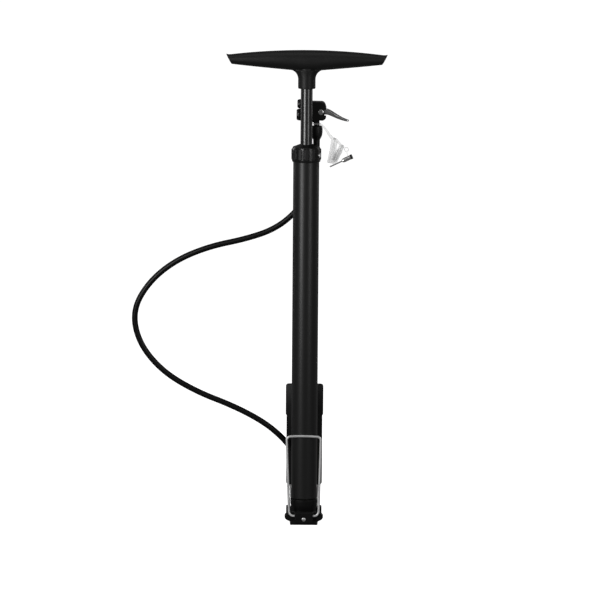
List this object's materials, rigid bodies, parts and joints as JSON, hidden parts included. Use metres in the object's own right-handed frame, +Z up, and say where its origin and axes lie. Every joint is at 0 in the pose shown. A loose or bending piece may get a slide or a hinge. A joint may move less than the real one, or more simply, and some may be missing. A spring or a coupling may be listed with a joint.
{
  "type": "floor bike pump",
  "caption": "Slim floor pump with a T handle on a sliding rod, fold-out wire and tread feet, a hose loop and a twin-headed lever chuck.",
  "frame": {"origin": "on the floor at the centre of the base's underside, on the barrel's axis", "axes": "+Z up along the barrel towards the handle; -Y towards the front stirrup; the hose loops out towards -X"},
  "size_m": [0.3428, 0.0652, 0.6412],
  "materials": {
    "barrel_paint": "satin",
    "rod_chrome": "gloss black",
    "black_nylon": "fine moulded texture",
    "chuck_nylon": "smooth moulded",
    "bright_wire": "bright drawn wire",
    "bright_steel": "zinc plated",
    "lever_alloy": "polished casting",
    "hose_rubber": "smooth rubber",
    "seal_rubber": "moulded rubber",
    "brass": "turned",
    "milky_plastic": "translucent white",
    "smoky_plastic": "translucent grey"
  },
  "bodies": {
    "pump_body": {"barrel": "barrel_paint", "cap": "black_nylon", "cap_screws": "bright_steel", "rod_bush": "black_nylon", "top_bumper": "seal_rubber", "base": "black_nylon", "base_seal": "seal_rubber", "valve_seat": "brass", "valve_spring": "bright_wire", "outlet_nipple": "brass", "outlet_collar": "bright_steel", "hinge_block": "black_nylon", "hinge_screw": "bright_steel", "hose": "hose_rubber", "hose_sleeve": "chuck_nylon", "chuck_stem": "chuck_nylon", "chuck_body": "chuck_nylon", "schrader_nut": "chuck_nylon", "presta_nut": "chuck_nylon", "schrader_grommet": "seal_rubber", "presta_grommet": "seal_rubber", "lever_pin": "bright_steel"},
    "seal": {"piston_seal": "seal_rubber"},
    "plunger": {"rod": "rod_chrome", "piston": "black_nylon", "piston_ring": "brass", "handle": "black_nylon", "handle_pin": "bright_steel"},
    "check_ball": {"valve_ball": "bright_steel"},
    "front_foot": {"front_stirrup": "bright_wire"},
    "rear_foot": {"rear_wire": "bright_wire", "rear_tread": "black_nylon"},
    "chuck_lever": {"lever": "lever_alloy"},
    "pusher": {"cam_pusher": "brass"},
    "adapters": {"adapter_strap": "milky_plastic", "cone_nozzle": "milky_plastic", "valve_adapter": "smoky_plastic", "needle_link": "milky_plastic", "ball_needle": "bright_steel", "needle_head": "bright_steel", "needle_washer": "seal_rubber"}
  },
  "joints": [
    {"name": "plunger_slide", "type": "slide", "parent": "pump_body", "child": "seal", "axis": [0, 0, 1], "range_m": [0, 0.415]},
    {"name": "plunger_spin", "type": "hinge", "parent": "seal", "child": "plunger", "pos_m": [0, 0, 0.06], "axis": [0, 0, 1], "continuous": true},
    {"name": "valve_lift", "type": "slide", "parent": "pump_body", "child": "check_ball", "axis": [0, 0, -1], "range_m": [0, 0.002], "stiffness_N_per_m": 150, "springref_m": -0.004, "deforming": ["valve_spring"]},
    {"name": "front_stirrup_fold", "type": "hinge", "parent": "pump_body", "child": "front_foot", "pos_m": [0, -0.0225, 0.012], "axis": [1, 0, 0], "range_deg": [0, 97]},
    {"name": "rear_foot_fold", "type": "hinge", "parent": "pump_body", "child": "rear_foot", "pos_m": [0, 0.022, 0.0138], "axis": [-1, 0, 0], "range_deg": [0, 89.5]},
    {"name": "lever_fold", "type": "hinge", "parent": "pump_body", "child": "chuck_lever", "pos_m": [0.0192, 0.0225, 0.556], "axis": [0, 1, 0], "range_deg": [0, 50]},
    {"name": "pusher_slide", "type": "slide", "parent": "pump_body", "child": "pusher", "axis": [1, 0, 0], "range_m": [0, 0.0008]},
    {"name": "adapter_swing", "type": "hinge", "parent": "pump_body", "child": "adapters", "pos_m": [0.0136, 0.0225, 0.538], "axis": [0, 0, 1], "range_deg": [-20, 5]}
  ],
  "couplings": [
    {"joint": "pusher_slide", "follows": "lever_fold", "m_per_rad": 0.00091673}
  ]
}
